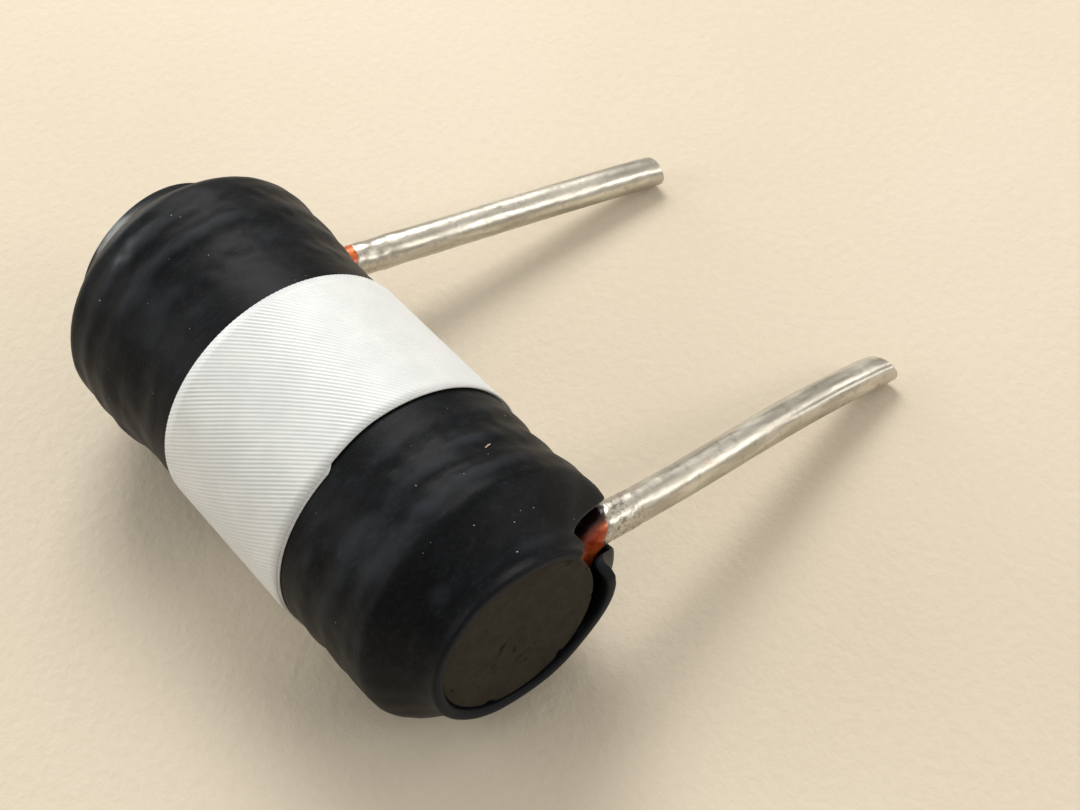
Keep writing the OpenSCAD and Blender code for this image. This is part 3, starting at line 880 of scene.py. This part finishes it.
def label_maker():
    """Winds a ribbed strip of cloth round the rod, over its own beginning."""
    m = Maker("ribbed_label", [
        ("Radius", "Float"), ("Width", "Float"), ("Thickness", "Float"), ("Start angle", "Float"),
        ("Wrap angle", "Float"), ("Rib spacing", "Float"), ("Rib height", "Float"),
        ("Rib lean", "Float"), ("Columns", "Int"), ("Rows", "Int"), ("Front edge", "Float"),
        ("Axis", "Vector"), ("Material", "Material")])
    grid = m.add("GeometryNodeMeshGrid", {
        "Size X": 1.0, "Size Y": 1.0, "Vertices X": m.given["Columns"],
        "Vertices Y": m.given["Rows"]})
    # Laid flat, its columns run along the ribs, and what passes the strip's ends is folded away
    spot = m.add("GeometryNodeInputPosition")
    parts = m.add("ShaderNodeSeparateXYZ", {0: spot.outputs[0]})
    drift = m.calc("DIVIDE", m.calc("MULTIPLY", m.given["Width"], m.given["Rib lean"]),
                   m.given["Radius"])
    reach = m.calc("ADD", m.given["Wrap angle"], drift)
    across = m.calc("ADD", parts.outputs[1], 0.5)
    along = m.calc("MULTIPLY_ADD", m.calc("ADD", parts.outputs[0], 0.5), reach,
                   m.calc("MULTIPLY", m.calc("SUBTRACT", across, 1.0), drift))
    held = m.calc("MINIMUM", m.calc("MAXIMUM", along, 0.0), m.given["Wrap angle"])
    flat = m.add("GeometryNodeSetPosition", {
        "Geometry": grid.outputs["Mesh"],
        "Position": m.add("ShaderNodeCombineXYZ", {0: held, 1: across}).outputs[0]})
    strip = m.add("GeometryNodeMergeByDistance", {"Geometry": flat.outputs[0], "Distance": 1e-5})
    spot = m.add("GeometryNodeInputPosition")
    parts = m.add("ShaderNodeSeparateXYZ", {0: spot.outputs[0]})
    across = parts.outputs[1]
    turn = m.calc("ADD", parts.outputs[0], m.given["Start angle"])
    # The second turn climbs on to the first
    full = m.calc("ADD", m.given["Start angle"], 2 * math.pi)
    climb = m.add("ShaderNodeMapRange", {"Value": m.calc("SUBTRACT", turn, full),
                                         "From Min": CLIMB[0], "From Max": CLIMB[1]},
                  interpolation_type="SMOOTHSTEP").outputs[0]
    crooked = FIRST_ASIDE * MM
    for start, stop, step in STEPS_ASIDE:
        bent = m.add("ShaderNodeMapRange", {"Value": turn, "From Min": math.radians(start),
                                            "From Max": math.radians(stop), "To Max": step * MM},
                     interpolation_type="SMOOTHSTEP").outputs[0]
        crooked = m.calc("ADD", bent, crooked)
    far = m.calc("MULTIPLY", m.calc("SINE", m.calc("ADD", turn, -0.35)), FAR_SWAY * MM)
    shift = m.calc("MULTIPLY_ADD", m.calc("SUBTRACT", far, crooked), across, crooked)
    depth = m.calc("MULTIPLY_ADD", across, m.given["Width"], shift)
    arc = m.calc("MULTIPLY", turn, m.given["Radius"])
    ribs = m.calc("DIVIDE", m.calc("SUBTRACT", arc, m.calc("MULTIPLY", depth, m.given["Rib lean"])),
                  m.given["Rib spacing"])
    wave = m.calc("COSINE", m.calc("MULTIPLY", ribs, 2 * math.pi))
    relief = m.calc("MULTIPLY", wave, m.calc("MULTIPLY", m.given["Rib height"], 0.5))
    lift = m.calc("MULTIPLY", climb, m.calc("MULTIPLY", m.given["Thickness"], SECOND_LIFT))
    top = m.calc("ADD", m.calc("ADD", m.given["Radius"], m.given["Thickness"]),
                 m.calc("ADD", lift, relief))
    axis = m.add("ShaderNodeSeparateXYZ", {0: m.given["Axis"]})
    x = m.calc("SUBTRACT", axis.outputs[0], m.calc("ADD", depth, m.given["Front edge"]))

    def wound(radius):
        y = m.calc("ADD", axis.outputs[1], m.calc("MULTIPLY", radius, m.calc("COSINE", turn)))
        z = m.calc("ADD", axis.outputs[2], m.calc("MULTIPLY", radius, m.calc("SINE", turn)))
        return m.add("ShaderNodeCombineXYZ", {0: x, 1: y, 2: z}).outputs[0]

    under = m.calc("ADD", m.given["Radius"], lift)
    # The hollows between the ribs are kept for the finish, which paints shade in them
    hollow = m.calc("MULTIPLY_ADD", wave, -0.5, 0.5)
    marked = m.add("GeometryNodeStoreNamedAttribute", {
        "Geometry": strip.outputs[0], "Name": "groove", "Value": hollow},
        data_type="FLOAT", domain="POINT")
    upper, lower = (m.add("GeometryNodeSetPosition", {
        "Geometry": marked.outputs[0], "Position": wound(radius)}) for radius in (top, under))
    flipped = m.add("GeometryNodeFlipFaces", {"Mesh": upper.outputs[0]})
    both = m.add("GeometryNodeJoinGeometry")
    m.give(both, 0, flipped.outputs[0])
    m.give(both, 0, lower.outputs[0])
    shaded = m.add("GeometryNodeSetShadeSmooth", {"Geometry": both.outputs[0]})
    m.finish(shaded.outputs[0])
    return m


def label(material):
    base = bpy.data.meshes.new("label_base")
    base.from_pydata([(0, 0, 0)], [], [])
    piece = label_maker().run("label_wrap", base, {
        "Radius": (LABEL_R + 0.005) * MM, "Width": LABEL_W * MM, "Thickness": 0.07 * MM,
        "Start angle": math.radians(-5), "Wrap angle": math.radians(560), "Rib spacing": 0.347 * MM,
        "Rib height": 0.030 * MM, "Rib lean": 0.73, "Columns": 1901, "Rows": 18,
        "Front edge": LABEL_U * MM, "Axis": (FRONT_X * MM, AXIS_Y * MM, AXIS_Z * MM),
        "Material": material})
    close_rim(piece)
    return piece


def close_rim(piece):
    """Joins a strip's inner and outer faces, whose points come in the same order, at its rim."""
    work = bmesh.new()
    work.from_mesh(piece.data)
    work.verts.ensure_lookup_table()
    half = len(work.verts) // 2
    rim = [edge for edge in work.edges if edge.is_boundary and edge.verts[0].index < half]
    for edge in rim:
        a, b = edge.verts
        work.faces.new([a, b, work.verts[b.index + half], work.verts[a.index + half]])
    bmesh.ops.recalc_face_normals(work, faces=work.faces)
    first = len(work.faces) - len(rim)
    work.to_mesh(piece.data)
    work.free()
    layer = piece.data.attributes.new("rim", "FLOAT", "FACE")
    on_rim = np.arange(len(piece.data.polygons)) >= first
    layer.data.foreach_set("value", on_rim.astype(np.float32))


# ---- Dust --------------------------------------

def dust_maker():
    """Scatters small flat flecks over a surface."""
    m = Maker("dust_flecks", [("Density", "Float"), ("Least size", "Float"), ("Most size", "Float"),
                              ("Seed", "Int"), ("Material", "Material")])
    spots = m.add("GeometryNodeDistributePointsOnFaces", {
        "Mesh": m.given["Geometry"], "Density": m.given["Density"], "Seed": m.given["Seed"]})
    fleck = m.add("GeometryNodeMeshIcoSphere", {"Radius": 1.0, "Subdivisions": 1})
    size = m.add("FunctionNodeRandomValue", {2: m.given["Least size"], 3: m.given["Most size"],
                                             "Seed": 3}, data_type="FLOAT")
    stretch = m.add("FunctionNodeRandomValue", {0: (0.6, 0.5, 0.25), 1: (1.6, 0.9, 0.4), "Seed": 5},
                    data_type="FLOAT_VECTOR")
    scale = m.add("ShaderNodeVectorMath", {0: stretch.outputs[0], "Scale": size.outputs[1]},
                  operation="SCALE")
    placed = m.add("GeometryNodeInstanceOnPoints", {
        "Points": spots.outputs["Points"], "Instance": fleck.outputs[0],
        "Rotation": spots.outputs["Rotation"], "Scale": scale.outputs[0]})
    spun = m.add("FunctionNodeRandomValue", {0: (0, 0, 0), 1: (0, 0, 6.28), "Seed": 7},
                 data_type="FLOAT_VECTOR")
    turned = m.add("GeometryNodeRotateInstances", {
        "Instances": placed.outputs[0], "Rotation": spun.outputs[0]})
    m.finish(turned.outputs[0])
    return m


def dust(sleeve, material):
    base = sleeve.data.copy()
    base.materials.clear()
    return dust_maker().run("dust_flecks", base, {
        "Density": 26000.0, "Least size": 0.02 * MM, "Most size": 0.045 * MM, "Seed": 8,
        "Material": material})


# Larger flecks on the sleeve: distance behind the front face, angle, half size
LINT = [(3.2, 93, 0.060), (2.7, 64, 0.045), (2.4, 76, 0.040), (2.1, 36, 0.035),
        (33.2, 95, 0.050), (37.5, 138, 0.055), (38.0, 95, 0.045), (37.4, 93, 0.035),
        (0.9, 82, 0.060), (29.5, 120, 0.035)]


def on_sleeve(u, angle, lift):
    """A point just over the finished sleeve."""
    u, angle = np.asarray(u, float), np.asarray(angle, float)
    r = sleeve_radius(u, angle)
    relief, _ = turn_relief(u, angle, on_rod(u, r, angle))
    return on_rod(u, r + relief + lift, angle)


def lint(material, tan):
    """A short tan fibre and a few larger flecks, resting on the sleeve."""
    points, faces = [], []
    bend = np.linspace(0, 1, 9)
    line = on_sleeve(7.56 + 0.20 * bend + 0.02 * np.sin(bend * 3.1), 68.0 - 3.5 * bend, 0.045)
    sides = 6
    turn = np.arange(sides) * 2 * math.pi / sides
    for i, centre in enumerate(line):
        along = line[min(i + 1, 8)] - line[max(i - 1, 0)]
        along /= np.linalg.norm(along)
        side = np.cross(along, [1.0, 0, 0])
        side /= np.linalg.norm(side)
        up = np.cross(along, side)
        thick = 0.050 * math.sqrt(max(1 - (2 * bend[i] - 1) ** 6, 0.05))
        points += list(centre + thick * (np.cos(turn)[:, None] * side + np.sin(turn)[:, None] * up))
    faces += sheet_faces(len(line), sides)
    faces += [tuple(range(sides))[::-1], tuple(range(len(points) - sides, len(points)))]
    fibre_faces = len(faces)
    own = np.random.default_rng(12)
    for u, angle, size in LINT:
        centre = on_sleeve(u, angle, 0.2 * size)
        first = len(points)
        fan = 7
        out = centre - np.array([centre[0], AXIS_Y, AXIS_Z])
        out /= np.linalg.norm(out)
        side = np.cross(out, [1.0, 0, 0])
        spin = own.uniform(0, 3)
        for k in range(fan):
            t = k * 2 * math.pi / fan + spin
            reach = size * own.uniform(0.55, 1.25)
            way = math.cos(t) * np.array([1.0, 0, 0]) + math.sin(t) * side
            points.append(centre + reach * way)
        points += [centre + out * 0.55 * size, centre - out * 0.3 * size]
        for k in range(fan):
            n = (k + 1) % fan
            faces += [(first + n, first + k, first + fan), (first + k, first + n, first + fan + 1)]
    piece = make_piece("lint", np.array(points), faces, material, shade=False)
    piece.data.materials.append(tan)
    for face in piece.data.polygons[:fibre_faces]:
        face.material_index = 1
    return piece


# ---- Assembly ----------------------------------

def table_top(material):
    mesh = bpy.data.meshes.new("table_top")
    half = 0.7
    mesh.from_pydata([(-half, -half, 0), (half, -half, 0), (half, half, 0), (-half, half, 0)], [],
                     [(0, 1, 2, 3)])
    mesh.materials.append(material)
    top = bpy.data.objects.new("table_top", mesh)
    bpy.context.scene.collection.objects.link(top)


def assemble():
    place_camera()
    light_room()
    table_top(paper_finish())

    core = ferrite_rod(pressed_ferrite_finish())
    coil = winding(red_enamel_finish())
    front = tinned_lead("tinned_lead_front", "front_lead", behind=1.8, seed=41, bow=0.30,
                        slant=0.52, groove_and_reflection=1.0, soot=1.0)
    rear = tinned_lead("tinned_lead_rear", "rear_lead", behind=0.06, seed=57, bow=0.06,
                       slant=0.18, groove_and_reflection=0.0, soot=0.4)
    sleeve = shrink_sleeve(shrunk_sleeve_finish())
    band = label(label_cloth_finish())
    pale = fleck_finish()
    flecks = dust(sleeve, pale)
    fibre = lint(pale, fibre_finish())
    for piece, node, slot in (
            (core, "ferrite_rod", "ferrite"), (coil, "winding", "enamelled_copper"),
            (front, "front_lead_solder", "solder"), (rear, "rear_lead_solder", "solder"),
            (sleeve, "shrink_sleeve", "sleeve"), (band, "label", "label_cloth")):
        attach(piece, "root")
        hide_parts(node)
    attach(flecks, "root")
    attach(fibre, "root")


assemble()
